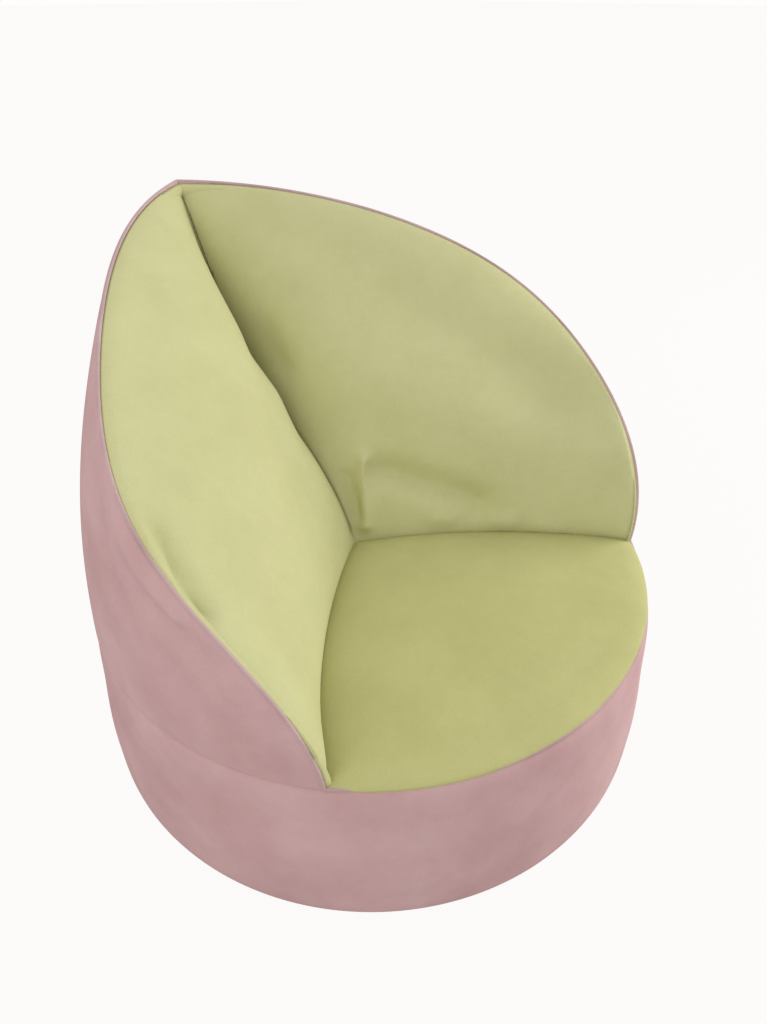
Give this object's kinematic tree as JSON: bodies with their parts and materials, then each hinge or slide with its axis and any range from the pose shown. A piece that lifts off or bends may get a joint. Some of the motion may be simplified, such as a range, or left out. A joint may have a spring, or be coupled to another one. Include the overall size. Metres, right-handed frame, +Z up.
{
  "type": "kids armchair",
  "caption": "Round foam armchair for a small child, with a drum seat, a pointed leaf-shaped back, piped seams and a zipped removable cover.",
  "frame": {"origin": "the drum's axis on the floor", "axes": "+Z up; -Y is the open front that the sitter faces; +Y points to the tip of the back; X is the width, with the chair symmetric about X = 0"},
  "size_m": [0.5619, 0.5717, 0.4826],
  "materials": {
    "foam_firm": "matt open-cell foam",
    "foam_soft": "matt open-cell foam",
    "microfibre_green": "brushed microfibre",
    "microfibre_pink": "brushed microfibre",
    "base_fabric": "non-slip dotted fabric",
    "piping": "brushed microfibre",
    "zip_tape": "woven polyester",
    "zip_chain": "satin nylon",
    "zip_metal": "nickel-plated zinc"
  },
  "bodies": {
    "chair": {"drum_foam": "foam_firm", "topper_foam": "foam_soft", "arm_foam_left": "foam_firm", "arm_foam_right": "foam_firm", "seat_panel": "microfibre_green", "back_panel_left": "microfibre_green", "back_panel_right": "microfibre_green", "shell_panel_left": "microfibre_pink", "shell_panel_right": "microfibre_pink", "drum_wall": "microfibre_pink", "base_panel": "base_fabric", "seat_piping": "piping", "rim_piping_left": "piping", "rim_piping_right": "piping", "zip_tape_upper": "zip_tape", "zip_tape_lower": "zip_tape", "zip_chain_upper": "zip_chain", "zip_chain_lower": "zip_chain", "zip_stops": "zip_metal"},
    "slider": {"zip_slider": "zip_metal"},
    "pull": {"zip_pull": "zip_metal"}
  },
  "joints": [
    {"name": "zip_travel", "type": "hinge", "parent": "chair", "child": "slider", "pos_m": [0, 0, 0.037], "axis": [0, 0, 1], "range_deg": [0, 104]},
    {"name": "pull_swing", "type": "hinge", "parent": "slider", "child": "pull", "pos_m": [0.22376, 0.17482, 0.037], "axis": [0, 0, 1], "range_deg": [0, 175]}
  ]
}
